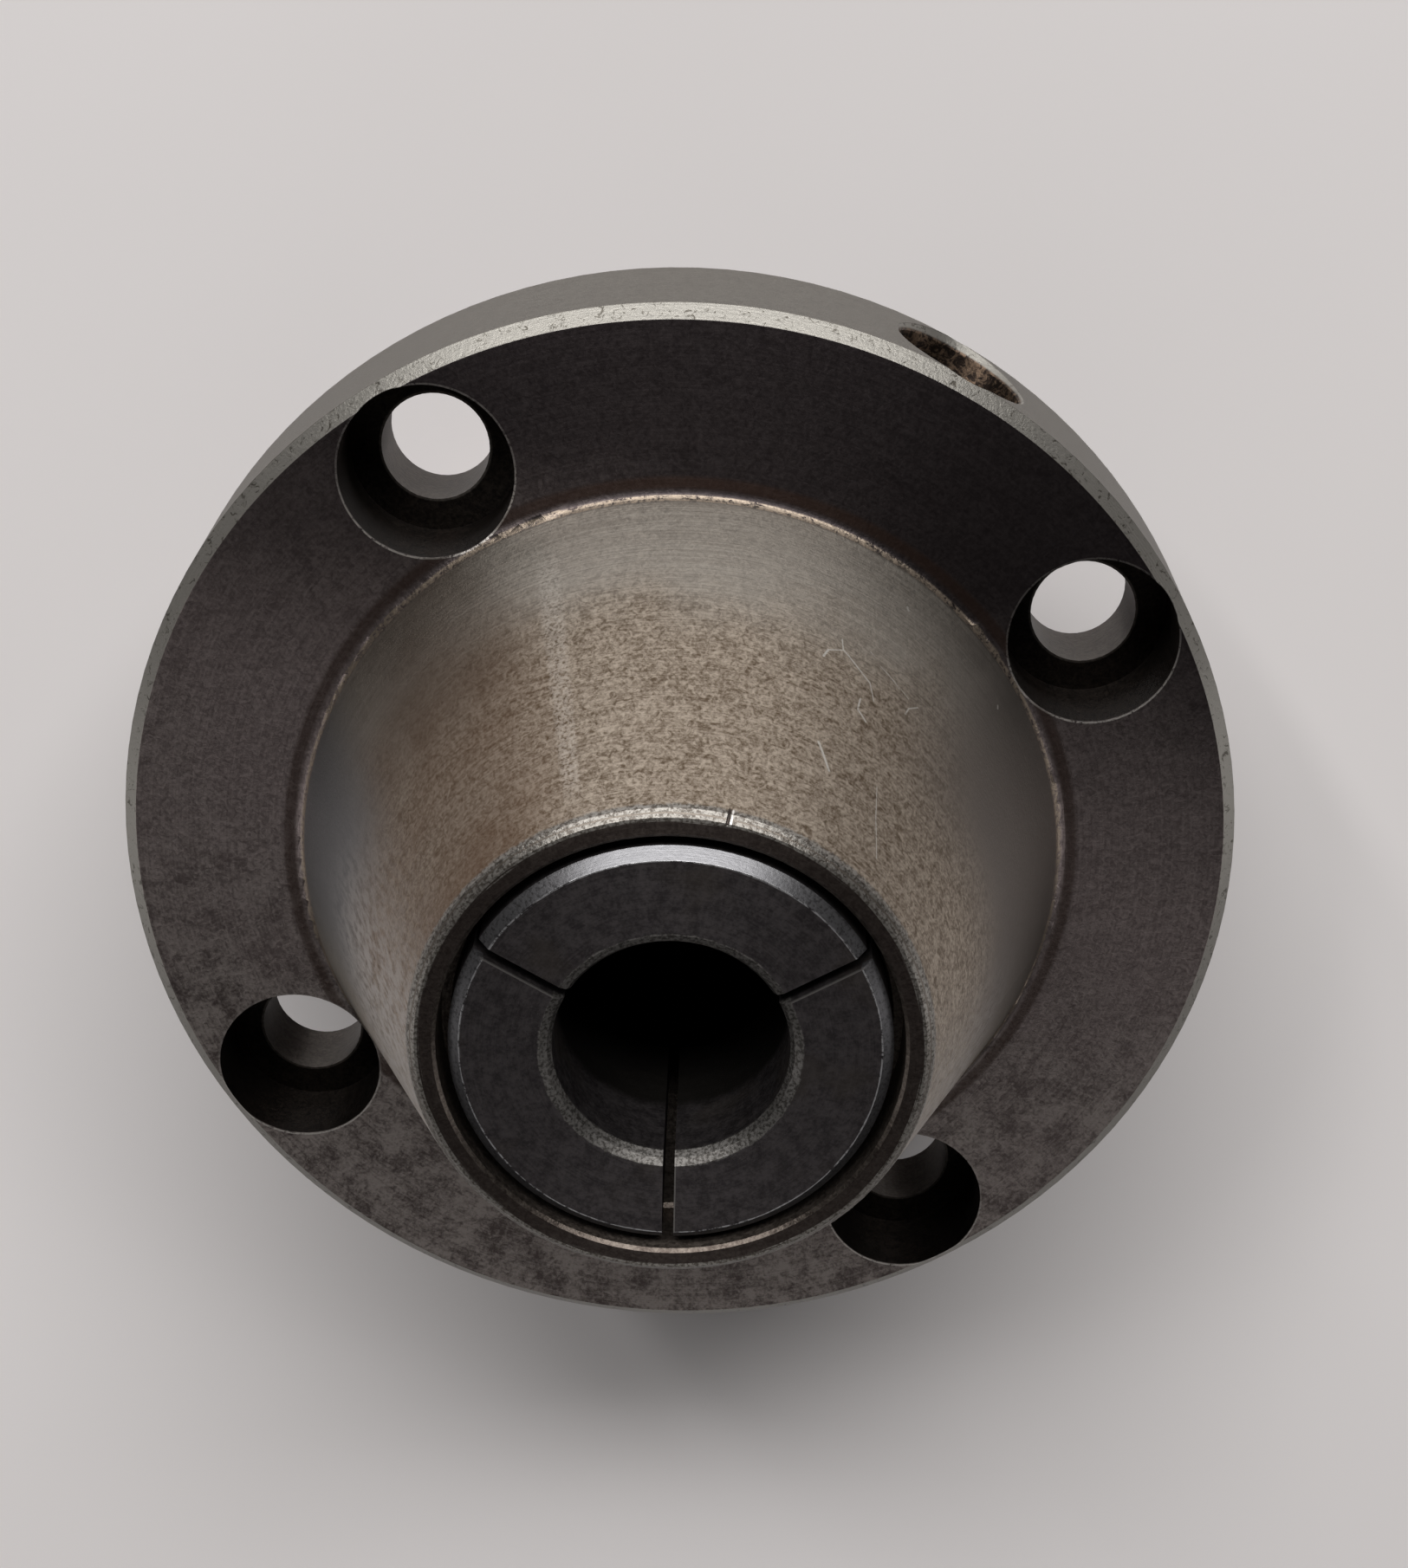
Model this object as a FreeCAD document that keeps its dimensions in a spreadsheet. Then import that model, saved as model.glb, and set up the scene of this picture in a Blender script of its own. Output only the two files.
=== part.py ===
import FreeCAD, Part
import math
import os
import Sketcher

# Collet chuck holder: a flanged steel nose that carries a draw-in spring collet.
#
# The holder is turned from one bar: a rear spigot that registers it in a machine, a
# round flange with four counterbored screw holes, and a conical nose. The nose is bored
# for the collet's head, then tapered for its closing cone, then bored straight to guide
# its body, and opened at the rear for the draw tube. The collet is slit from its face by
# three saw cuts, and a dog-point screw in the spigot runs in its keyway.
#
# Millimetres. +Z runs along the chuck's axis towards the nose. The origin is on the axis
# at the spigot's rear end, on which the holder stands.

SIZES = (
    # the holder's outside
    ("flange_dia", 106.7, "flange, outside"),
    ("flange_thick", 16.1, "flange, back face to front face"),
    ("flange_chamfer", 1.25, "flange, front outer edge"),
    ("back_chamfer", 1.0, "flange, back outer edge"),
    ("spigot_dia", 63.5, "rear spigot, outside"),
    ("spigot_long", 30.0, "rear spigot, rear end to the flange's back face"),
    ("spigot_chamfer", 1.5, "rear spigot, lead-in at its end"),
    ("relief_wide", 2.5, "corner relief groove at the spigot's root, width"),
    ("relief_deep", 0.5, "corner relief groove at the spigot's root, depth"),
    ("cone_land", 0.2, "nose cone's foot to the counterbores' edge"),
    ("cone_fillet", 1.0, "radius in the corner between cone and flange"),
    ("nose_long", 37.7, "nose, flange front face to nose face"),
    ("nose_tip_dia", 44.0, "nose cone at its front"),
    ("nose_edge", 0.6, "nose, outer front edge"),
    # the holder's inside
    ("nose_bore_dia", 39.3, "bore round the collet's head"),
    ("nose_bore_deep", 5.6, "bore round the collet's head, depth"),
    ("nose_bore_edge", 0.3, "bore round the collet's head, mouth edge"),
    ("seat_edge", 0.3, "closing taper, mouth edge"),
    ("taper_deg", 10.0, "closing taper, angle to the axis"),
    ("seat_gap", 0.06, "radial clearance in the closing taper"),
    ("guide_gap", 0.025, "radial clearance round the collet's body"),
    ("draw_bore_dia", 37.0, "rear bore that clears the draw tube"),
    ("draw_bore_deep", 16.0, "rear bore, depth"),
    ("draw_bore_edge", 1.0, "rear bore, mouth edge"),
    # the holder's holes
    ("rim_land", 0.95, "counterbores' edge to the flange's rim"),
    ("bolt_count", 4, "number of screw holes"),
    ("bolt_angle", 45.0, "first screw hole, degrees from +X"),
    ("bolt_hole_dia", 10.0, "screw hole"),
    ("head_bore_dia", 15.9, "counterbore for a screw's head"),
    ("head_bore_deep", 8.4, "counterbore for a screw's head, depth"),
    ("rim_hole_dia", 12.7, "blind bar hole in the flange's rim"),
    ("rim_hole_deep", 15.0, "bar hole, depth of its straight wall"),
    ("rim_hole_edge", 0.8, "bar hole, countersink at its mouth"),
    ("rim_hole_angle", 75.5, "bar hole, degrees from +X"),
    ("drill_half_deg", 59.0, "half the point angle of a drilled end"),
    # the collet
    ("collet_long", 82.55, "collet, face to tail"),
    ("face_proud", 0.2, "collet's face in front of the nose face"),
    ("head_dia", 37.3, "collet head, outside"),
    ("head_long", 5.0, "collet head, straight part"),
    ("face_bevel", 0.95, "collet head, front edge"),
    ("neck_deep", 0.425, "spring neck behind the taper, below the body"),
    ("neck_long", 13.0, "spring neck, length"),
    ("body_dia", 31.75, "collet's guided body"),
    ("thread_step", 0.15, "tail thread's crests below the body"),
    ("thread_long", 18.5, "tail thread, length"),
    ("thread_relief_deep", 0.775, "groove at the end of the tail thread, below the body"),
    ("thread_relief_long", 2.5, "groove at the end of the tail thread, width"),
    ("tail_chamfer", 0.8, "tail thread, lead-in"),
    ("grip_dia", 20.0, "bore that grips the work"),
    ("grip_long", 19.0, "bore that grips the work, length"),
    ("mouth_wide", 1.0, "worn mouth of the gripping bore, on the face and in the bore"),
    ("mouth_lip", 0.35, "worn mouth, its corner in from each side"),
    ("passage_dia", 26.0, "passage behind the gripping bore"),
    ("slot_count", 3, "number of saw cuts"),
    ("slot_wide", 1.0, "saw cut, width"),
    ("slot_deep", 46.0, "saw cut, length from the face"),
    ("keyway_wide", 4.0, "keyway, width"),
    ("keyway_deep", 1.5, "keyway, depth below the body"),
    ("keyway_run", 5.0, "keyway past the key screw's point"),
    # the key screw
    ("key_angle", 223.0, "key screw and keyway, degrees from +X"),
    ("key_high", 24.5, "key screw's axis above the spigot's end"),
    ("screw_dia", 6.0, "key screw, outside of its thread"),
    ("screw_long", 16.0, "key screw, length"),
    ("screw_edge", 0.6, "key screw, chamfer at both ends of its thread"),
    ("screw_gap", 0.05, "radial clearance round the screw's thread"),
    ("point_long", 3.5, "key screw, dog point"),
    ("point_gap", 0.05, "clearance on each side of the dog point in the keyway"),
    ("point_end_gap", 0.2, "clearance under the dog point"),
    ("socket_wide", 3.0, "hexagon socket, across flats"),
    ("socket_deep", 3.5, "hexagon socket, depth"),
)

doc = FreeCAD.newDocument("collet_chuck_holder")
sheet = doc.addObject("Spreadsheet::Sheet", "Sizes")
for row, (name, number, note) in enumerate(SIZES, start=1):
    sheet.set(f"A{row}", name)
    sheet.set(f"B{row}", str(number))
    sheet.set(f"C{row}", note)
    sheet.setAlias(f"B{row}", name)
doc.recompute()

# Heights on the axis and radii that several features share, as sheet formulas.
FLANGE_FRONT = "(Sizes.spigot_long + Sizes.flange_thick)"
NOSE_FACE = f"({FLANGE_FRONT} + Sizes.nose_long)"
COLLET_FACE = f"({NOSE_FACE} + Sizes.face_proud)"
COLLET_TAIL = f"({COLLET_FACE} - Sizes.collet_long)"
SLOPE = "tan(Sizes.taper_deg)"
SEAT_TOP = f"({NOSE_FACE} - Sizes.nose_bore_deep)"
GUIDE_R = "(Sizes.body_dia / 2 + Sizes.guide_gap)"
# The closing taper runs parallel to the collet's cone, one seat gap outside it.
SEAT_R = (
    "(Sizes.head_dia / 2 + Sizes.seat_gap"
    f" - (Sizes.face_proud + Sizes.nose_bore_deep - Sizes.head_long) * {SLOPE})"
)
SEAT_END = f"({SEAT_TOP} - ({SEAT_R} - {GUIDE_R}) / {SLOPE})"
# The screw holes sit one rim land inside the flange's edge, and the nose cone's foot
# one cone land inside their counterbores.
BOLT_CIRCLE_R = "(Sizes.flange_dia / 2 - Sizes.rim_land - Sizes.head_bore_dia / 2)"
CONE_BASE_R = f"({BOLT_CIRCLE_R} - Sizes.head_bore_dia / 2 - Sizes.cone_land)"
THREAD_R = "(Sizes.body_dia / 2 - Sizes.thread_step)"
CLEAR_OF_WORK = 1.0  # how far a cutting outline runs past the surface it cuts
SKETCH_START = 30.0  # where sketch points lie before their sizes are tied to the sheet


def size(name):
    """The number that a sheet cell holds."""
    return float(sheet.get(name))


def origin_feature(body, role):
    """One of the planes or axes of the body's own origin."""
    for feature in body.Origin.OriginFeatures:
        if feature.Role == role:
            return feature
    raise RuntimeError(f"{body.Label} has no {role}")


def add_body(label):
    """A body for one turned piece, named after its node."""
    body = doc.addObject("PartDesign::Body", label)
    body.Label = label
    return body


def add_sketch(body, name, role, height=None, turn=None):
    """A sketch on an origin plane, raised along Z by height and turned about Z.

    XY_Plane sketches look down the axis. XZ_Plane sketches hold radius across and
    height up, and turning one about Z points its radius another way.
    """
    sketch = body.newObject("Sketcher::SketchObject", name)
    sketch.AttachmentSupport = [(origin_feature(body, role), "")]
    sketch.MapMode = "FlatFace"
    lies_flat = role == "XY_Plane"
    up = FreeCAD.Vector(0, 0, 1) if lies_flat else FreeCAD.Vector(0, 1, 0)
    start_angle = 1.0  # a zero turn would lose the axis
    sketch.AttachmentOffset = FreeCAD.Placement(
        FreeCAD.Vector(), FreeCAD.Rotation(up, start_angle if turn else 0.0)
    )
    if height:
        sketch.setExpression("AttachmentOffset.Base.z" if lies_flat else
                             "AttachmentOffset.Base.y", height)
    if turn:
        sketch.setExpression("AttachmentOffset.Rotation.Angle", turn)
    return sketch


def pin_point(sketch, line, across, up):
    """Fix the first point of a line, or a circle's centre, at two sheet formulas."""
    end = 3 if isinstance(sketch.Geometry[line], Part.Circle) else 1
    for kind, axis, formula in (("DistanceX", -2, across), ("DistanceY", -1, up)):
        if formula == "0":
            sketch.addConstraint(Sketcher.Constraint("PointOnObject", line, end, axis))
            continue
        point = sketch.getPoint(line, end)
        start = point.x if kind == "DistanceX" else point.y
        index = sketch.addConstraint(Sketcher.Constraint(kind, -1, 1, line, end, start))
        sketch.setExpression(f"Constraints[{index}]", formula)


def outline(sketch, corners):
    """A closed outline of straight lines through corners given as sheet formulas."""
    count = len(corners)
    ring = []
    for index in range(count):
        angle = 2 * math.pi * index / count
        across = SKETCH_START * (2 + math.cos(angle))
        up = SKETCH_START * (2 + math.sin(angle))
        ring.append(FreeCAD.Vector(across, up, 0))
    for index in range(count):
        sketch.addGeometry(Part.LineSegment(ring[index], ring[(index + 1) % count]), False)
    for index in range(count):
        following = (index + 1) % count
        sketch.addConstraint(Sketcher.Constraint("Coincident", index, 2, following, 1))
    for index, (across, up) in enumerate(corners):
        pin_point(sketch, index, across, up)


def turned(body, name, sketch, kind="PartDesign::Revolution", axis="V_Axis"):
    """Turn a sketch about one of its axes, as a solid or as a cut."""
    before = body.Shape.Volume if body.Tip else 0.0
    feature = body.newObject(kind, name)
    feature.Profile = sketch
    feature.ReferenceAxis = (sketch, [axis])
    feature.Angle = 360.0
    doc.recompute()
    must_change(name, kind.endswith("Groove"), before, body.Shape.Volume)
    return feature


def pocket(body, name, sketch, depth, towards_plus_z):
    """Cut a sketch into the body along the axis, down or up."""
    before = body.Shape.Volume
    feature = body.newObject("PartDesign::Pocket", name)
    feature.Profile = sketch
    feature.Type = "Length"
    feature.setExpression("Length", depth)
    feature.Reversed = towards_plus_z
    doc.recompute()
    must_change(name, True, before, body.Shape.Volume)
    return feature


def must_change(name, cuts, before, after):
    """Stop if a feature left the solid as it was, or worked the wrong way."""
    if (after < before - 1e-3) != cuts or abs(after - before) < 1e-3:
        raise RuntimeError(f"{name} took the volume from {before:.3f} to {after:.3f}")


def polar(body, name, original, count):
    """Repeat a cut evenly round the axis."""
    before = body.Shape.Volume
    pattern = body.newObject("PartDesign::PolarPattern", name)
    pattern.Originals = [original]
    pattern.Axis = (origin_feature(body, "Z_Axis"), [""])
    pattern.Angle = 360.0
    pattern.setExpression("Occurrences", count)
    body.Tip = pattern
    doc.recompute()
    must_change(name, True, before, body.Shape.Volume)
    return pattern


def round_cone_foot(body, blank):
    """Fillet the inside corner where the nose cone meets the flange's front face."""
    front = size("spigot_long") + size("flange_thick")
    foot_r = size("flange_dia") / 2 - size("rim_land") - size("head_bore_dia") - size("cone_land")
    chosen = None
    for index, edge in enumerate(blank.Shape.Edges, start=1):
        curve = edge.Curve
        if not isinstance(curve, Part.Circle):
            continue
        if abs(curve.Radius - foot_r) < 1e-4 and abs(curve.Center.z - front) < 1e-4:
            chosen = f"Edge{index}"
    if chosen is None:
        raise RuntimeError("the nose cone has no foot on the flange's face")
    fillet = body.newObject("PartDesign::Fillet", "ConeFillet")
    fillet.Base = (blank, [chosen])
    fillet.setExpression("Radius", "Sizes.cone_fillet")
    doc.recompute()


def make_holder():
    """The turned holder: spigot, flange and nose, bored for the collet, and drilled."""
    body = add_body("holder_body")
    section = add_sketch(body, "HolderSection", "XZ_Plane")
    flange_r = "Sizes.flange_dia / 2"
    spigot_r = "Sizes.spigot_dia / 2"
    bore_r = "Sizes.nose_bore_dia / 2"
    draw_r = "Sizes.draw_bore_dia / 2"
    tip_r = "Sizes.nose_tip_dia / 2"
    outline(section, (
        (f"{draw_r} + Sizes.draw_bore_edge", "0"),
        (f"{spigot_r} - Sizes.spigot_chamfer", "0"),
        (spigot_r, "Sizes.spigot_chamfer"),
        (spigot_r, "Sizes.spigot_long - Sizes.relief_wide"),
        (f"{spigot_r} - Sizes.relief_deep", "Sizes.spigot_long - Sizes.relief_wide"),
        (f"{spigot_r} - Sizes.relief_deep", "Sizes.spigot_long"),
        (f"{flange_r} - Sizes.back_chamfer", "Sizes.spigot_long"),
        (flange_r, "Sizes.spigot_long + Sizes.back_chamfer"),
        (flange_r, f"{FLANGE_FRONT} - Sizes.flange_chamfer"),
        (f"{flange_r} - Sizes.flange_chamfer", FLANGE_FRONT),
        (CONE_BASE_R, FLANGE_FRONT),
        (tip_r, f"{NOSE_FACE} - Sizes.nose_edge"),
        (f"{tip_r} - Sizes.nose_edge", NOSE_FACE),
        (f"{bore_r} + Sizes.nose_bore_edge", NOSE_FACE),
        (bore_r, f"{NOSE_FACE} - Sizes.nose_bore_edge"),
        (bore_r, SEAT_TOP),
        (f"{SEAT_R} + Sizes.seat_edge", SEAT_TOP),
        (f"{SEAT_R} - Sizes.seat_edge * {SLOPE}", f"{SEAT_TOP} - Sizes.seat_edge"),
        (GUIDE_R, SEAT_END),
        (GUIDE_R, "Sizes.draw_bore_deep"),
        (draw_r, "Sizes.draw_bore_deep"),
        (draw_r, "Sizes.draw_bore_edge"),
    ))
    blank = turned(body, "HolderBlank", section)
    round_cone_foot(body, blank)
    drill_screw_holes(body)
    drill_rim_hole(body)
    drill_key_hole(body)
    return body


def drill_screw_holes(body):
    """Four through holes on the bolt circle, counterbored from the front.

    The counterbore starts one fillet radius above the face, so it also trims the fillet.
    """
    above_face = f"{FLANGE_FRONT} + Sizes.cone_fillet"
    centre = add_sketch(body, "ScrewHoleCentre", "XY_Plane", above_face, "Sizes.bolt_angle")
    start = FreeCAD.Vector(SKETCH_START, SKETCH_START, 0)
    centre.addGeometry(Part.Circle(start, FreeCAD.Vector(0, 0, 1), SKETCH_START), False)
    pin_point(centre, 0, BOLT_CIRCLE_R, "0")
    index = centre.addConstraint(Sketcher.Constraint("Radius", 0, SKETCH_START))
    centre.setExpression(f"Constraints[{index}]", "Sizes.bolt_hole_dia / 2")
    doc.recompute()
    before = body.Shape.Volume
    hole = body.newObject("PartDesign::Hole", "ScrewHole")
    hole.Profile = centre
    hole.Threaded = False
    hole.DepthType = "ThroughAll"
    hole.setExpression("Diameter", "Sizes.bolt_hole_dia")
    hole.HoleCutType = "Counterbore"
    hole.HoleCutCustomValues = True
    hole.setExpression("HoleCutDiameter", "Sizes.head_bore_dia")
    hole.setExpression("HoleCutDepth", "Sizes.head_bore_deep + Sizes.cone_fillet")
    doc.recompute()
    must_change("ScrewHole", True, before, body.Shape.Volume)
    polar(body, "ScrewHoles", hole, "Sizes.bolt_count")


def drill_rim_hole(body):
    """One blind hole for a bar, drilled in from the rim at the flange's mid thickness."""
    middle = "(Sizes.spigot_long + Sizes.flange_thick / 2)"
    rim_r = "Sizes.flange_dia / 2"
    hole_r = "Sizes.rim_hole_dia / 2"
    bottom = f"({rim_r} - Sizes.rim_hole_deep)"
    section = add_sketch(body, "RimHoleSection", "XZ_Plane", middle, "Sizes.rim_hole_angle")
    outline(section, (
        (f"{bottom} - {hole_r} / tan(Sizes.drill_half_deg)", "0"),
        (f"{rim_r} + {CLEAR_OF_WORK}", "0"),
        (f"{rim_r} + {CLEAR_OF_WORK}", f"{hole_r} + Sizes.rim_hole_edge + {CLEAR_OF_WORK}"),
        (f"{rim_r} - Sizes.rim_hole_edge", hole_r),
        (bottom, hole_r),
    ))
    turned(body, "RimHole", section, "PartDesign::Groove", "H_Axis")


def drill_key_hole(body):
    """The hole through the spigot's wall that the key screw is screwed into."""
    section = add_sketch(body, "KeyHoleSection", "XZ_Plane", "Sizes.key_high",
                         "Sizes.key_angle")
    hole_r = "Sizes.screw_dia / 2 + Sizes.screw_gap"
    inside = f"{GUIDE_R} - {CLEAR_OF_WORK}"
    outside = f"Sizes.spigot_dia / 2 + {CLEAR_OF_WORK}"
    outline(section, ((inside, "0"), (outside, "0"), (outside, hole_r), (inside, hole_r)))
    turned(body, "KeyHole", section, "PartDesign::Groove", "H_Axis")


def make_collet():
    """The draw-in collet: turned, slit in three from its face, with a keyway."""
    body = add_body("collet")
    section = add_sketch(body, "ColletSection", "XZ_Plane")
    head_r = "Sizes.head_dia / 2"
    grip_r = "Sizes.grip_dia / 2"
    passage_r = "Sizes.passage_dia / 2"
    body_r = "Sizes.body_dia / 2"
    neck_r = f"({body_r} - Sizes.neck_deep)"
    relief_r = f"{body_r} - Sizes.thread_relief_deep"
    thread_end = f"{COLLET_TAIL} + Sizes.thread_long"
    relief_end = f"{thread_end} + Sizes.thread_relief_long"
    cone_top = f"({COLLET_FACE} - Sizes.head_long)"
    cone_end = f"({cone_top} - ({head_r} - {neck_r}) / {SLOPE})"
    outline(section, (
        (passage_r, COLLET_TAIL),
        (f"{THREAD_R} - Sizes.tail_chamfer", COLLET_TAIL),
        (THREAD_R, f"{COLLET_TAIL} + Sizes.tail_chamfer"),
        (THREAD_R, thread_end),
        (relief_r, thread_end),
        (relief_r, relief_end),
        (body_r, relief_end),
        (body_r, f"{cone_end} - Sizes.neck_long"),
        (neck_r, f"{cone_end} - Sizes.neck_long"),
        (neck_r, cone_end),
        (head_r, cone_top),
        (head_r, f"{COLLET_FACE} - Sizes.face_bevel"),
        (f"{head_r} - Sizes.face_bevel", COLLET_FACE),
        (f"{grip_r} + Sizes.mouth_wide", COLLET_FACE),
        (f"{grip_r} + Sizes.mouth_lip", f"{COLLET_FACE} - Sizes.mouth_lip"),
        (grip_r, f"{COLLET_FACE} - Sizes.mouth_wide"),
        (grip_r, f"{COLLET_FACE} - Sizes.grip_long"),
        (passage_r, f"{COLLET_FACE} - Sizes.grip_long - ({passage_r} - {grip_r})"),
    ))
    turned(body, "ColletBlank", section)
    slit_collet(body)
    mill_keyway(body)
    return body


def slit_collet(body):
    """Saw cuts from the face, the first half a cut's spacing from the keyway."""
    kerf = add_sketch(body, "SawCut", "XY_Plane", COLLET_FACE, "Sizes.key_angle + 180 / Sizes.slot_count")
    outside = f"Sizes.head_dia / 2 + {CLEAR_OF_WORK}"
    half = "Sizes.slot_wide / 2"
    outline(kerf, (("0", f"-{half}"), (outside, f"-{half}"), (outside, half), ("0", half)))
    cut = pocket(body, "SawSlot", kerf, "Sizes.slot_deep", False)
    polar(body, "SawSlots", cut, "Sizes.slot_count")


def mill_keyway(body):
    """The keyway, open at the tail, that slides along the key screw's point."""
    outer = f"Sizes.body_dia / 2 + {CLEAR_OF_WORK}"
    floor = "Sizes.body_dia / 2 - Sizes.keyway_deep"
    half = "Sizes.keyway_wide / 2"
    end = add_sketch(body, "KeywayEnd", "XY_Plane", COLLET_TAIL, "Sizes.key_angle")
    outline(end, ((floor, f"-{half}"), (outer, f"-{half}"), (outer, half), (floor, half)))
    top = "Sizes.key_high + Sizes.keyway_wide / 2 + Sizes.keyway_run"
    pocket(body, "Keyway", end, f"{top} - {COLLET_TAIL}", True)


def make_key_screw():
    """A socket set screw with a dog point, turned about its own Z and then laid in place."""
    body = add_body("key_screw")
    section = add_sketch(body, "ScrewSection", "XZ_Plane")
    thread_r = "Sizes.screw_dia / 2"
    point_r = "Sizes.keyway_wide / 2 - Sizes.point_gap"
    outline(section, (
        ("0", "0"),
        (point_r, "0"),
        (point_r, "Sizes.point_long"),
        (f"{thread_r} - Sizes.screw_edge", "Sizes.point_long"),
        (thread_r, "Sizes.point_long + Sizes.screw_edge"),
        (thread_r, "Sizes.screw_long - Sizes.screw_edge"),
        (f"{thread_r} - Sizes.screw_edge", "Sizes.screw_long"),
        ("0", "Sizes.screw_long"),
    ))
    turned(body, "ScrewBlank", section)
    socket = add_sketch(body, "SocketEnd", "XY_Plane", "Sizes.screw_long")
    reach = "Sizes.socket_wide / 2 / cos(30)"
    corners = []
    for index in range(6):
        angle = 60 * index
        corners.append((f"{reach} * cos({angle})", f"{reach} * sin({angle})"))
    corners[0] = (reach, "0")
    corners[3] = (f"-{reach}", "0")
    outline(socket, corners)
    pocket(body, "Socket", socket, "Sizes.socket_deep", False)
    tip_r = size("body_dia") / 2 - size("keyway_deep") + size("point_end_gap")
    around = FreeCAD.Rotation(FreeCAD.Vector(0, 0, 1), size("key_angle"))
    outwards = FreeCAD.Rotation(FreeCAD.Vector(0, 1, 0), 90)
    place = around.multVec(FreeCAD.Vector(tip_r, 0, size("key_high")))
    body.Placement = FreeCAD.Placement(place, around.multiply(outwards))
    return body


pieces = (make_holder(), make_collet(), make_key_screw())
doc.recompute()

for item in doc.Objects:
    if "Invalid" in item.State or "Error" in item.State:
        raise RuntimeError(f"{item.Label} failed: {item.State}")
for piece in pieces:
    if piece.Shape.isNull() or not piece.Shape.isValid():
        raise RuntimeError(f"{piece.Label} has no valid shape")

os.makedirs("parts", exist_ok=True)
for piece in pieces:
    piece.Shape.exportStep(f"parts/{piece.Label}.step")
    box = piece.Shape.BoundBox
    print(f"{piece.Label}: {len(piece.Shape.Solids)} solid, {piece.Shape.Volume:.1f} mm3,"
          f" z {box.ZMin:.3f} to {box.ZMax:.3f}")
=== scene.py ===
import math

import bpy
import numpy as np
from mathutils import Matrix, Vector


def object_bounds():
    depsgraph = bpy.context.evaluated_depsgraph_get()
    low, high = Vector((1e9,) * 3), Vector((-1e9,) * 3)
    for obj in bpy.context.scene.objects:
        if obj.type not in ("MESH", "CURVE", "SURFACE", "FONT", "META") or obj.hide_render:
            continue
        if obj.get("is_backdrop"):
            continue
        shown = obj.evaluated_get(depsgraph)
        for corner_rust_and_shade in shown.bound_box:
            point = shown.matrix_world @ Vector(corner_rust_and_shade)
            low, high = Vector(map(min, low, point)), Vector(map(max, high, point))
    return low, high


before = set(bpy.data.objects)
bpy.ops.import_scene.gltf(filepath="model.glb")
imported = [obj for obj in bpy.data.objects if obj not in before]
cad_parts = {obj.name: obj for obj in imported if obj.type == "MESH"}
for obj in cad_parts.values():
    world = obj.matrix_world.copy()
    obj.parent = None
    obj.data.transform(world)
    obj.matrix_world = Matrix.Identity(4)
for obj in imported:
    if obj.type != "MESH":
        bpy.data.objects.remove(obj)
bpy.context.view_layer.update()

# The holder stands on its rear spigot on a plain pale table top. It is seen from close
# above, over the flange's +Y side, so that the nose points down and towards the viewer.
viewer = bpy.data.cameras.new("viewer")
viewer.lens = 59.75
viewer.sensor_width = 36.0
viewer.shift_x = -0.0383
viewer.shift_y = 0.1096
viewer.clip_start = 0.01
viewer.clip_end = 20.0
viewer_object = bpy.data.objects.new("viewer", viewer)
viewer_object.location = (-0.02072, 0.10380, 0.27351)
viewer_object.rotation_euler = [math.radians(turn) for turn in (-26.992, -0.34, 14.886)]
bpy.context.collection.objects.link(viewer_object)
bpy.context.scene.camera = viewer_object
bpy.context.scene.view_settings.view_transform = "Standard"

# The table top: a large matt off-white board, a little uneven in tone. The holder only
# stands on it, so it is staged.


def new_material(name):
    """An empty node material and its tree."""
    made = bpy.data.materials.new(name)
    made.use_nodes = True
    made.node_tree.nodes.clear()
    return made, made.node_tree


def add_node(tree, kind, inputs=None, **settings):
    """One shader node with its settings, and its inputs wired to a socket or set."""
    node = tree.nodes.new(kind)
    for name, setting in settings.items():
        setattr(node, name, setting)
    for key, given in (inputs or {}).items():
        if isinstance(given, bpy.types.NodeSocket):
            tree.links.new(given, node.inputs[key])
        else:
            node.inputs[key].default_value = given
    return node


def noise(tree, vector, scale, detail=4.0, roughness=0.5, distortion=0.0):
    """Fractal noise from 0 to 1 with scale features per unit of the vector."""
    return add_node(tree, "ShaderNodeTexNoise",
                    {"Vector": vector, "Scale": scale, "Detail": detail,
                     "Roughness": roughness, "Distortion": distortion}).outputs[0]


def blend(tree, amount, below, above):
    """One colour going over into another as amount goes from 0 to 1."""
    return add_node(tree, "ShaderNodeMix", {0: amount, 6: below, 7: above},
                    data_type="RGBA").outputs[2]


def colour(red, green, blue):
    """A colour in linear light with full cover."""
    return (red, green, blue, 1.0)


board, tree = new_material("table_board")
metres = add_node(tree, "ShaderNodeTexCoord").outputs["Object"]
tone = blend(tree, noise(tree, metres, 6.0, 3.0),
             colour(0.665, 0.640, 0.633), colour(0.735, 0.712, 0.712))
surface = add_node(tree, "ShaderNodeBsdfPrincipled", {"Base Color": tone, "Roughness": 0.6})
surface.inputs["Specular IOR Level"].default_value = 0.25
add_node(tree, "ShaderNodeOutputMaterial", {"Surface": surface.outputs[0]})
reach = 3.0  # metres from the table's middle to its edges
corners = [(-reach, -reach, 0), (reach, -reach, 0), (reach, reach, 0), (-reach, reach, 0)]
table_mesh = bpy.data.meshes.new("table_top")
table_mesh.from_pydata(corners, [], [(0, 1, 2, 3)])
table_mesh.materials.append(board)
table_top = bpy.data.objects.new("table_top", table_mesh)
bpy.context.collection.objects.link(table_top)
table_top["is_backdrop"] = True

# Soft boxes stand round the table: a wide one beyond the flange's +Y side, a narrow
# upright one to its left, and weak ones on the other sides. Overhead it is dark.


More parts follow.
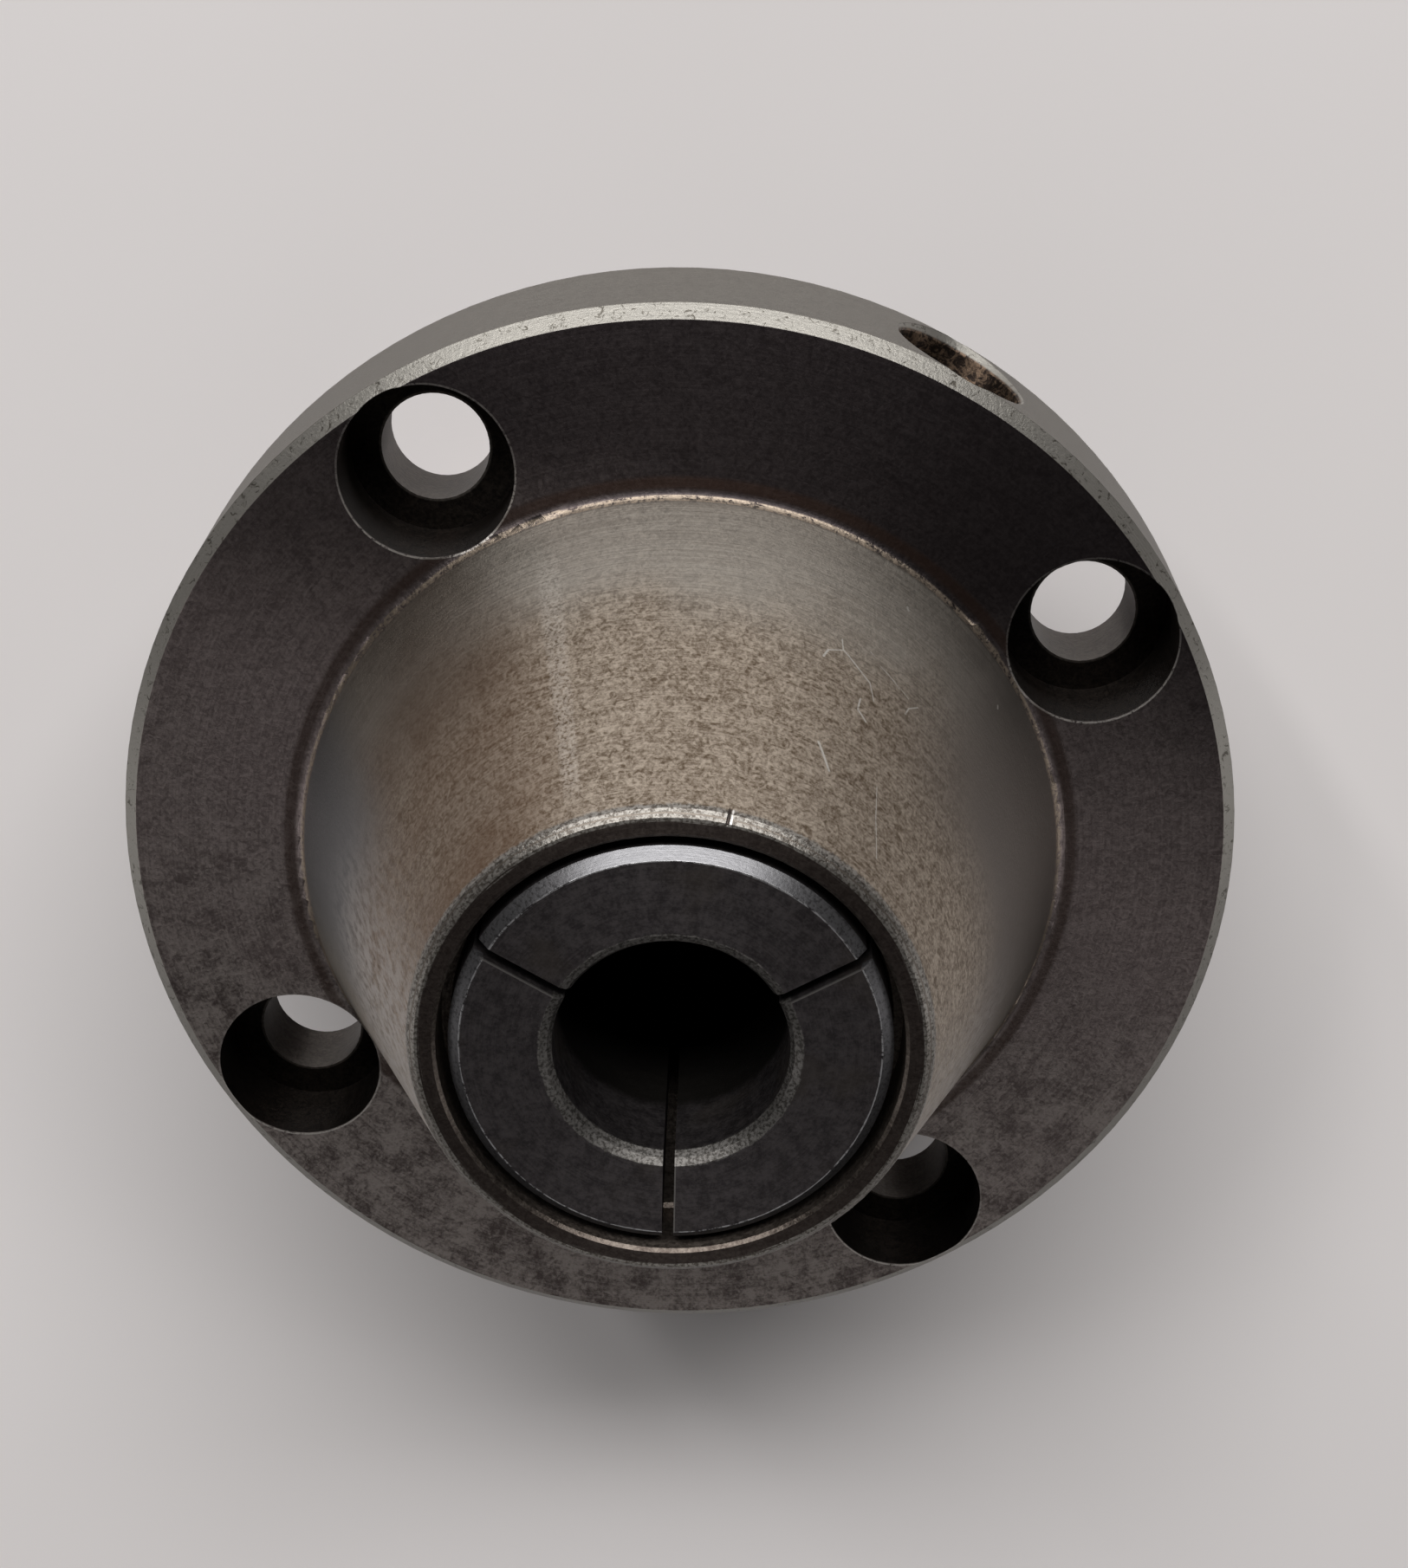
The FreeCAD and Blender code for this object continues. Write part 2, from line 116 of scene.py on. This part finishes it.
def softbox(name, heading, height, distance, width, tall, watts, tint):
    """A flat light that faces the flange from a heading and a height, both in degrees.

    It stands at distance along the direction (cos height cos heading, cos height sin
    heading, sin height), measured from a point 0.04 m over the table.
    """
    light = bpy.data.lights.new(name, "AREA")
    light.shape = "RECTANGLE"
    light.size = width
    light.size_y = tall
    light.energy = watts
    light.color = tint
    lamp = bpy.data.objects.new(name, light)
    across, up = math.radians(heading), math.radians(height)
    lamp.location = (distance * math.cos(up) * math.cos(across),
                     distance * math.cos(up) * math.sin(across),
                     distance * math.sin(up) + 0.04)
    lamp.rotation_euler = (math.pi / 2 - up, 0.0, across + math.pi / 2)
    bpy.context.collection.objects.link(lamp)


softbox("far_light", 100, 39, 3.0, 3.00, 0.62, 108.0, (1.0, 0.985, 0.975))
softbox("left_light", 139, 36, 3.0, 0.20, 1.50, 20.0, (1.0, 0.985, 0.975))
softbox("near_light", 285, 48, 2.0, 1.40, 0.70, 1.8, (1.0, 0.97, 0.96))
softbox("left_side_light", 215, 18, 2.0, 0.70, 0.50, 2.8, (1.0, 0.98, 0.98))
softbox("right_side_light", 0, 18, 2.0, 0.80, 0.50, 3.2, (1.0, 0.98, 0.98))
world = bpy.data.worlds.new("room")
world.use_nodes = True
world.node_tree.nodes["Background"].inputs["Color"].default_value = colour(1.0, 0.98, 0.97)
world.node_tree.nodes["Background"].inputs["Strength"].default_value = 0.04
bpy.context.scene.world = world

# The holder: one piece of steel, turned all over, with drilled and counterbored holes.
# Years of handling left a brown-grey patina, near black on the flange and mottled on the
# nose, with the edges worn bright and rust in the corner between nose and flange. Painted
# shade darkens the flange's face toward +Y, the counterbores' walls and the corner, and
# painted highlights brighten a line on the nose, the nose's foot and the counterbores' edges.
# These are heights over the spigot's rear end, radii and offsets, all in millimetres.
flange_face, flange_edge = 46.1, 53.35
screw_offset, counterbore, screw_hole = 31.431, 7.95, 5.0
corner_radius = 37.5
nose_face, nose_edge, nose_bore = 83.8, 21.5, 19.65
bar_heading, bar_height, bar_hole = 75.5, 38.05, 6.35


def calc(tree, operation, first, second=0.0, third=0.0):
    """One step of arithmetic on sockets or plain numbers."""
    return add_node(tree, "ShaderNodeMath", {0: first, 1: second, 2: third},
                    operation=operation).outputs[0]


def rise(tree, amount, start, end):
    """0 on the start side, 1 on the end side, eased between; it falls if start > end."""
    return add_node(tree, "ShaderNodeMapRange",
                    {"Value": amount, "From Min": start, "From Max": end},
                    interpolation_type="SMOOTHSTEP").outputs["Result"]


def band(tree, amount, low, high, soft):
    """1 between low and high, fading to 0 over soft on each side."""
    return calc(tree, "MULTIPLY", rise(tree, amount, low - soft, low),
                rise(tree, amount, high + soft, high))


def both(tree, *masks):
    """The product of masks and shares."""
    product = masks[0]
    for mask in masks[1:]:
        product = calc(tree, "MULTIPLY", product, mask)
    return product


def weighted(tree, *parts):
    """The sum of values, each times its weight."""
    total = None
    for amount, weight in parts:
        part = calc(tree, "MULTIPLY", amount, weight)
        total = part if total is None else calc(tree, "ADD", total, part)
    return total


def distance(tree, across, up):
    """The length of the diagonal over two sides: the root of across^2 + up^2."""
    return calc(tree, "SQRT", calc(tree, "ADD", calc(tree, "MULTIPLY", across, across),
                                   calc(tree, "MULTIPLY", up, up)))


def lathe_frame(tree):
    """Where a point lies on a turned piece, in millimetres from the object's own origin.

    The point itself, its x, y and z, its radius from the axis, and a vector for the marks
    of turning: (x / radius, y / radius, 2.4 (z - radius)), which changes slowly round the
    axis and fast along the profile.
    """
    metres = add_node(tree, "ShaderNodeTexCoord").outputs["Object"]
    point = add_node(tree, "ShaderNodeVectorMath", {0: metres, "Scale": 1000.0},
                     operation="SCALE").outputs[0]
    x, y, z = add_node(tree, "ShaderNodeSeparateXYZ", {0: point}).outputs[:3]
    radius = distance(tree, x, y)
    along = calc(tree, "MULTIPLY", calc(tree, "SUBTRACT", z, radius), 2.4)
    marks = add_node(tree, "ShaderNodeCombineXYZ",
                     {0: calc(tree, "DIVIDE", x, radius), 1: calc(tree, "DIVIDE", y, radius),
                      2: along}).outputs[0]
    return point, x, y, z, radius, marks


def towards(tree, x, y, radius, heading, start, end):
    """Rises from 0 to 1 as the heading comes near: start and end are cosines of the turn."""
    angle = math.radians(heading)
    share = weighted(tree, (x, math.cos(angle)), (y, math.sin(angle)))
    return rise(tree, calc(tree, "DIVIDE", share, radius), start, end)


def round_axis(radius, heading, height):
    """A point given by its radius, its heading in degrees and its height."""
    angle = math.radians(heading)
    return (radius * math.cos(angle), radius * math.sin(angle), height)


def scratch(tree, point, start, end, half_wide):
    """1 along the straight line from start to end, fading out at half_wide beside it.

    The point's offset from start, times the line over its squared length, and kept from
    0 to 1, is how far along the line its nearest place lies.
    """
    line = np.subtract(end, start)
    offset = add_node(tree, "ShaderNodeVectorMath", {0: point, 1: start},
                      operation="SUBTRACT").outputs[0]
    share = add_node(tree, "ShaderNodeVectorMath", {0: offset, 1: tuple(line / line.dot(line))},
                     operation="DOT_PRODUCT").outputs["Value"]
    share = add_node(tree, "ShaderNodeClamp", {0: share}).outputs[0]
    nearest = add_node(tree, "ShaderNodeVectorMath", {0: tuple(line), "Scale": share},
                       operation="SCALE").outputs[0]
    beside = add_node(tree, "ShaderNodeVectorMath", {0: offset, 1: nearest},
                      operation="DISTANCE").outputs["Value"]
    return rise(tree, beside, half_wide, half_wide * 0.4)


def metal(tree, paint, rough, heights, depth, metallic, anisotropic):
    """A turned metal surface, whose gloss spreads across the marks of turning."""
    relief = add_node(tree, "ShaderNodeBump",
                      {"Height": heights, "Strength": 0.6, "Distance": depth})
    tangent = add_node(tree, "ShaderNodeTangent", direction_type="RADIAL", axis="Z")
    surface = add_node(tree, "ShaderNodeBsdfPrincipled",
                       {"Base Color": paint, "Roughness": rough, "Normal": relief.outputs[0],
                        "Tangent": tangent.outputs[0], "Metallic": metallic,
                        "Anisotropic": anisotropic, "Anisotropic Rotation": 0.25})
    add_node(tree, "ShaderNodeOutputMaterial", {"Surface": surface.outputs[0]})


def dress(piece, material):
    """One material in all of a piece's slots."""
    for slot in piece.material_slots:
        slot.material = material


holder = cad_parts["holder_body"]
aged, tree = new_material("holder_steel_aged")
point, x, y, z, radius, marks = lathe_frame(tree)
hole_x = calc(tree, "MULTIPLY_ADD", calc(tree, "SIGN", x), -screw_offset, x)
hole_y = calc(tree, "MULTIPLY_ADD", calc(tree, "SIGN", y), -screw_offset, y)
from_hole = distance(tree, hole_x, hole_y)
drilled = both(tree, rise(tree, from_hole, counterbore + 0.07, counterbore + 0.02),
               rise(tree, z, flange_face - 0.02, flange_face - 0.2))
cloud = noise(tree, point, 0.07, 3.0, 0.55)
blotch = noise(tree, point, 0.32, 4.0, 0.7)
mottle = noise(tree, point, 1.25, 4.0, 0.68, 1.2)
speck = noise(tree, point, 3.2, 2.0, 0.65)
# Turning leaves lines round the axis, but none on the walls of the holes.
lines = add_node(tree, "ShaderNodeMix",
                 {0: drilled, 2: noise(tree, marks, 2.0, 3.0, 0.6), 3: 0.5}).outputs[0]
grain = weighted(tree, (mottle, 0.50), (speck, 0.30), (lines, 0.20))
light_grain = rise(tree, grain, 0.36, 0.66)

# The nose: mottled brown, smoother and greyer near the flange, with four stains at their
# own headings, pale streaks rubbed in low down at -Y, and one speckled bright line that is
# a painted highlight of the narrow left light.
brown = blend(tree, rise(tree, grain, 0.36, 0.64),
              colour(0.110, 0.078, 0.050), colour(0.430, 0.372, 0.305))
grey = blend(tree, rise(tree, lines, 0.3, 0.7),
             colour(0.315, 0.292, 0.258), colour(0.375, 0.355, 0.318))
smooth = rise(tree, calc(tree, "MULTIPLY_ADD", cloud, 20.0, z), 76.0, 62.0)
paint = blend(tree, calc(tree, "MULTIPLY", smooth, 0.75), brown, grey)
for heading, start, low, high, cover, stain in (
        (162, 0.72, 50.0, 66.0, cloud, colour(0.150, 0.085, 0.048)),
        (186, 0.90, 74.0, 60.0, 1.0, colour(0.190, 0.188, 0.190)),
        (22, 0.70, 76.0, 62.0, 1.0, colour(0.165, 0.145, 0.130)),
        (148, 0.92, 72.0, 60.0, cloud, colour(0.120, 0.088, 0.066))):
    patch = both(tree, towards(tree, x, y, radius, heading, start, 1.0),
                 rise(tree, z, low, high), cover)
    paint = blend(tree, patch, paint, stain)
upright = add_node(tree, "ShaderNodeVectorMath", {0: point, 1: (1.6, 1.6, 0.16)},
                   operation="MULTIPLY").outputs[0]
rubbed = both(tree, rise(tree, y, 10.0, -8.0), rise(tree, z, 54.0, 70.0),
              rise(tree, noise(tree, upright, 1.0, 4.0, 0.6), 0.30, 0.62), 0.8)
paint = blend(tree, rubbed, paint, colour(0.48, 0.455, 0.435))
# Painted highlight: a narrow speckled band at heading 124.3, where the narrow left light glances
# along the turned nose.
painted_glint = both(tree, towards(tree, x, y, radius, 124.3, 0.9991, 0.9999),
             band(tree, z, 54.0, 78.0, 4.0), rise(tree, speck, 0.36, 0.58), 0.35)
paint = blend(tree, painted_glint, paint, colour(0.55, 0.51, 0.46))

# The flange's face: near black oxide, painted darker still toward +Y as painted shade where
# the face mirrors the dark room overhead, duller on the sides, and paler grey in cloudy
# patches that come more often toward -Y.
dull = blend(tree, light_grain, colour(0.180, 0.146, 0.142), colour(0.350, 0.296, 0.286))
# Painted shade: toward +Y the face's oxide is painted near black, where it mirrors the dark room
# overhead.
blued_and_painted_shade = blend(tree, light_grain, colour(0.026, 0.021, 0.022), colour(0.044, 0.037, 0.038))
oxide_and_painted_shade = blend(tree, rise(tree, calc(tree, "MULTIPLY_ADD", cloud, 16.0, y), 12.0, 46.0), dull, blued_and_painted_shade)
pale_grey = blend(tree, rise(tree, weighted(tree, (grain, 0.62), (blotch, 0.38)), 0.40, 0.59),
             colour(0.108, 0.088, 0.083), colour(0.380, 0.338, 0.315))
# Paler grey patches, more of them toward -Y.
paler_toward_minus_y = rise(tree, calc(tree, "MULTIPLY_ADD", y, -0.02, cloud), 0.35, 1.25)
paint = blend(tree, rise(tree, z, flange_face + 1.1, flange_face + 0.3), paint,
              blend(tree, paler_toward_minus_y, oxide_and_painted_shade, pale_grey))

# The rim and its chamfer: greyer, with dark pits on the chamfer.
rim = blend(tree, rise(tree, grain, 0.3, 0.62),
            colour(0.130, 0.120, 0.106), colour(0.185, 0.174, 0.155))
paint = blend(tree, rise(tree, radius, flange_edge - 0.10, flange_edge - 0.01), paint, rim)
pitted = blend(tree, rise(tree, mottle, 0.34, 0.44),
               colour(0.100, 0.092, 0.078), colour(0.290, 0.280, 0.255))
chamfer = band(tree, radius, flange_edge - 1.22, flange_edge - 0.05, 0.03)
paint = blend(tree, chamfer, paint, pitted)

# The nose's edge: worn bright with an uneven border, and a brown face inside it.
brown_face = blend(tree, light_grain, colour(0.034, 0.026, 0.023), colour(0.066, 0.054, 0.048))
paint = blend(tree, rise(tree, z, nose_face - 0.3, nose_face - 0.05), paint, brown_face)
bright = blend(tree, rise(tree, speck, 0.36, 0.60),
               colour(0.100, 0.088, 0.076), colour(0.280, 0.266, 0.244))
dark_line = band(tree, calc(tree, "MULTIPLY_ADD", cloud, 0.5, z),
                 nose_face - 0.12, nose_face - 0.06, 0.05)
bright = blend(tree, dark_line, bright, colour(0.16, 0.14, 0.12))
uneven_height = calc(tree, "MULTIPLY_ADD", mottle, 0.8, z)
uneven_radius = calc(tree, "MULTIPLY_ADD", noise(tree, marks, 3.0, 3.0, 0.6), 0.9, radius)
edge = both(tree, rise(tree, uneven_height, nose_face - 0.8, nose_face - 0.5),
            rise(tree, uneven_radius, nose_edge, nose_edge + 0.14))
paint = blend(tree, edge, paint, bright)

# The counterbores and screw holes: the counterbores' walls painted near black as painted
# shade, the screw holes dark grey, and a worn bright line on the edge that is painted
# brighter on the side facing the far light, as a painted highlight.
near_face = rise(tree, z, flange_face + 1.2, flange_face + 0.9)
# Painted highlight: the bright edge line is strongest on the side of each hole that faces the far
# light.
far_light_side = rise(tree, weighted(tree, (hole_x, 0.26), (hole_y, -0.97)), -2.0, 7.0)
edge_wear_and_highlight = both(tree, band(tree, from_hole, counterbore + 0.02, counterbore + 0.15, 0.04),
            near_face, rise(tree, z, flange_face - 1.1, flange_face - 0.3),
            rise(tree, speck, 0.3, 0.5), calc(tree, "MULTIPLY_ADD", far_light_side, 0.85, 0.15))
paint = blend(tree, edge_wear_and_highlight, paint, colour(0.62, 0.59, 0.55))
# Painted shade: the counterbores' walls are painted near black.
painted_shade_walls = blend(tree, light_grain, colour(0.0090, 0.0075, 0.0068), colour(0.030, 0.024, 0.020))
paint = blend(tree, drilled, paint, painted_shade_walls)
through = blend(tree, light_grain, colour(0.070, 0.062, 0.056), colour(0.150, 0.135, 0.120))
in_hole = both(tree, rise(tree, from_hole, screw_hole + 0.3, screw_hole + 0.1), near_face)
paint = blend(tree, in_hole, paint, through)

# The corner between nose and flange: a dark rust-brown line that is partly rust and partly
# painted shade in the corner, and above it a thin bright line that is a painted highlight on
# the small fillet at the nose's foot.
# Rust and painted shade: the corner is painted dark rust-brown.
corner_rust_and_shade = both(tree, band(tree, radius, corner_radius - 0.25, corner_radius + 0.25, 0.6),
              rise(tree, z, flange_face + 0.8, flange_face + 0.2),
              rise(tree, from_hole, counterbore - 0.05, counterbore + 0.15), 0.65)
paint = blend(tree, corner_rust_and_shade, paint, colour(0.052, 0.030, 0.022))
# Painted highlight: a thin bright line on the fillet at the nose's foot.
fillet_highlight = both(tree, band(tree, z, flange_face + 0.25, flange_face + 0.65, 0.12),
            rise(tree, radius, corner_radius + 0.5, corner_radius), rise(tree, grain, 0.40, 0.54))
paint = blend(tree, fillet_highlight, paint, colour(0.34, 0.28, 0.22))

# The bores, and the bar hole in the rim, rough with rust.
bore = blend(tree, light_grain, colour(0.050, 0.040, 0.034), colour(0.170, 0.145, 0.125))
paint = blend(tree, rise(tree, radius, nose_bore + 0.32, nose_bore + 0.25), paint, bore)
bar = math.radians(bar_heading)
from_bar = distance(tree, weighted(tree, (y, math.cos(bar)), (x, -math.sin(bar))),
                    calc(tree, "SUBTRACT", z, bar_height))
in_bar = both(tree, rise(tree, from_bar, bar_hole + 0.27, bar_hole + 0.07),
              rise(tree, radius, flange_edge - 0.02, flange_edge - 0.15),
              rise(tree, radius, 36.6, 36.9), rise(tree, y, 20.0, 25.0))
rust = blend(tree, rise(tree, mottle, 0.42, 0.60),
             colour(0.030, 0.022, 0.018), colour(0.165, 0.115, 0.080))
paint = blend(tree, in_bar, paint, rust)

# Marks of use on the nose: scratches in two groups, and a scribed notch on its edge. Each
# scratch has its two ends, by radius, heading and height, and half its width.
trail = [
    ((30.0, 79.2, 62.4), (30.4, 78.6, 61.4), 0.14), ((30.4, 78.6, 61.4), (30.75, 76.0, 60.6), 0.10),
    ((31.15, 76.7, 59.4), (30.7, 76.1, 60.6), 0.09), ((30.72, 76.0, 60.6), (29.95, 70.2, 62.6), 0.11),
    ((29.95, 70.2, 62.6), (29.3, 68.6, 64.3), 0.09), ((29.0, 71.1, 65.0), (28.5, 71.1, 66.3), 0.12),
    ((28.5, 71.1, 66.3), (28.2, 69.0, 67.1), 0.13), ((29.8, 62.3, 63.0), (30.1, 62.0, 62.1), 0.10),
    ((30.1, 62.0, 62.1), (30.5, 60.5, 61.2), 0.09), ((25.95, 63.1, 72.95), (24.74, 61.2, 76.1), 0.07),
    ((24.74, 61.2, 76.1), (23.3, 58.0, 79.8), 0.07), ((26.2, 76.7, 72.2), (25.3, 73.4, 74.7), 0.16),
    ((31.0, 69.2, 59.9), (30.5, 62.6, 61.1), 0.06), ((31.3, 71.5, 59.0), (30.6, 64.8, 60.9), 0.05),
    ((34.4, 67.6, 50.9), (34.3, 67.3, 51.2), 0.16), ((34.4, 46.3, 51.0), (34.3, 46.1, 51.3), 0.14),
]
scored = 0.0
for start, end, half_wide in trail:
    mark = scratch(tree, point, round_axis(*start), round_axis(*end), half_wide)
    scored = calc(tree, "MAXIMUM", scored, mark)
paint = blend(tree, both(tree, scored, rise(tree, speck, 0.25, 0.45)), paint,
              colour(0.52, 0.50, 0.46))
notch = scratch(tree, point, round_axis(22.6, 91.6, 82.3), round_axis(21.3, 91.8, 83.9), 0.16)
paint = blend(tree, notch, paint, colour(0.050, 0.040, 0.035))
lip = scratch(tree, point, round_axis(22.6, 90.9, 82.3), round_axis(21.3, 91.1, 83.9), 0.12)
paint = blend(tree, lip, paint, colour(0.75, 0.73, 0.70))

rough = calc(tree, "MULTIPLY_ADD", grain, 0.26, 0.28)
heights = weighted(tree, (mottle, 0.5), (speck, 0.4), (lines, 0.3), (notch, -3.0))
metal(tree, paint, rough, heights, depth=0.00009, metallic=0.92, anisotropic=0.7)
dress(holder, aged)

# The collet: hardened steel, turned, ground on its face and taper and slit by three saw
# cuts. Its face is dark grey, with a nicked bevel that carries a painted highlight toward
# the far light at +Y, and a rough ring round the bore. Heights and radii are in
# millimetres, in the holder's own frame.
collet_face, bevel_edge, mouth_edge, passage = 84.0, 17.8, 11.3, 13.0
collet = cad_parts["collet"]
ground, tree = new_material("collet_steel_dark")
point, x, y, z, radius, marks = lathe_frame(tree)
cloud = noise(tree, point, 0.15, 3.0, 0.55)
mottle = noise(tree, point, 0.9, 4.0, 0.65)
speck = noise(tree, point, 3.4, 2.0, 0.6)
lines = noise(tree, marks, 3.0, 4.0, 0.6)
grain = weighted(tree, (mottle, 0.50), (speck, 0.30), (lines, 0.20))
paint = blend(tree, rise(tree, grain, 0.36, 0.64),
              colour(0.0400, 0.0355, 0.0370), colour(0.0900, 0.0810, 0.0825))
paint = blend(tree, calc(tree, "MULTIPLY", rise(tree, cloud, 0.5, 0.7), 0.5), paint,
              colour(0.070, 0.060, 0.052))
bevel_and_highlight = blend(tree, rise(tree, speck, 0.3, 0.55),
                 colour(0.070, 0.068, 0.070), colour(0.135, 0.133, 0.138))
# Painted highlight: the bevel is painted brighter at heading 100, toward the far light.
bevel_and_highlight = blend(tree, towards(tree, x, y, radius, 100, 0.80, 0.97), bevel_and_highlight,
                 colour(0.190, 0.190, 0.198))
nicked = calc(tree, "MULTIPLY_ADD", noise(tree, marks, 5.0, 4.0, 0.7), 0.30, radius)
bevel = both(tree, rise(tree, nicked, bevel_edge, bevel_edge + 0.08),
             rise(tree, z, collet_face - 1.1, collet_face - 0.95))
paint = blend(tree, bevel, paint, bevel_and_highlight)
inner = both(tree, band(tree, nicked, bevel_edge - 0.04, bevel_edge + 0.04, 0.04),
             rise(tree, z, collet_face - 0.5, collet_face - 0.2), rise(tree, grain, 0.42, 0.52))
paint = blend(tree, inner, paint, colour(0.42, 0.42, 0.43))
frayed = calc(tree, "MULTIPLY_ADD", mottle, 0.6, radius)
worn_ring = blend(tree, rise(tree, speck, 0.36, 0.6),
                  colour(0.075, 0.070, 0.064), colour(0.205, 0.196, 0.186))
mouth = both(tree, rise(tree, frayed, mouth_edge + 0.15, mouth_edge),
             rise(tree, z, collet_face - 1.3, collet_face - 0.9))
paint = blend(tree, mouth, paint, worn_ring)
# The saw cuts' edges: a thin bright line on one side of each, from deburring.
for heading, side in ((163.0, 1.0), (43.0, -1.0), (283.0, 1.0)):
    turn = math.radians(heading)
    beside = weighted(tree, (x, -math.sin(turn) * side), (y, math.cos(turn) * side))
    outward = weighted(tree, (x, math.cos(turn)), (y, math.sin(turn)))
    line = both(tree, band(tree, beside, 0.50, 0.60, 0.05), rise(tree, outward, 9.0, 10.0),
                rise(tree, z, collet_face - 0.3, collet_face - 0.1), 0.8)
    paint = blend(tree, line, paint, colour(0.22, 0.21, 0.20))
# The passage behind the grip: painted near black as painted shade deep in the bore.
bore_painted_shade = both(tree, rise(tree, radius, passage + 0.2, passage + 0.1), rise(tree, z, 76.5, 74.5))
paint = blend(tree, bore_painted_shade, paint, colour(0.022, 0.020, 0.018))
rough = calc(tree, "MULTIPLY_ADD", grain, 0.24, 0.30)
heights = weighted(tree, (mottle, 0.5), (speck, 0.35), (lines, 0.3))
metal(tree, paint, rough, heights, depth=0.00006, metallic=0.92, anisotropic=0.4)
dress(collet, ground)

# The key screw: a black-oxide socket set screw, screwed in through the spigot's wall. Its
# point runs in the collet's keyway and keeps the collet from turning.
key_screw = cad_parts["key_screw"]
oxide, tree = new_material("screw_black_oxide")
metres = add_node(tree, "ShaderNodeTexCoord").outputs["Object"]
speck = noise(tree, metres, 2500.0, 4.0, 0.6)
paint = blend(tree, rise(tree, speck, 0.35, 0.7),
              colour(0.030, 0.030, 0.033), colour(0.100, 0.098, 0.100))
rough = calc(tree, "MULTIPLY_ADD", speck, 0.2, 0.35)
surface = add_node(tree, "ShaderNodeBsdfPrincipled", {"Base Color": paint, "Roughness": rough})
surface.inputs["Metallic"].default_value = 0.8
add_node(tree, "ShaderNodeOutputMaterial", {"Surface": surface.outputs[0]})
dress(key_screw, oxide)

low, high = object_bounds()
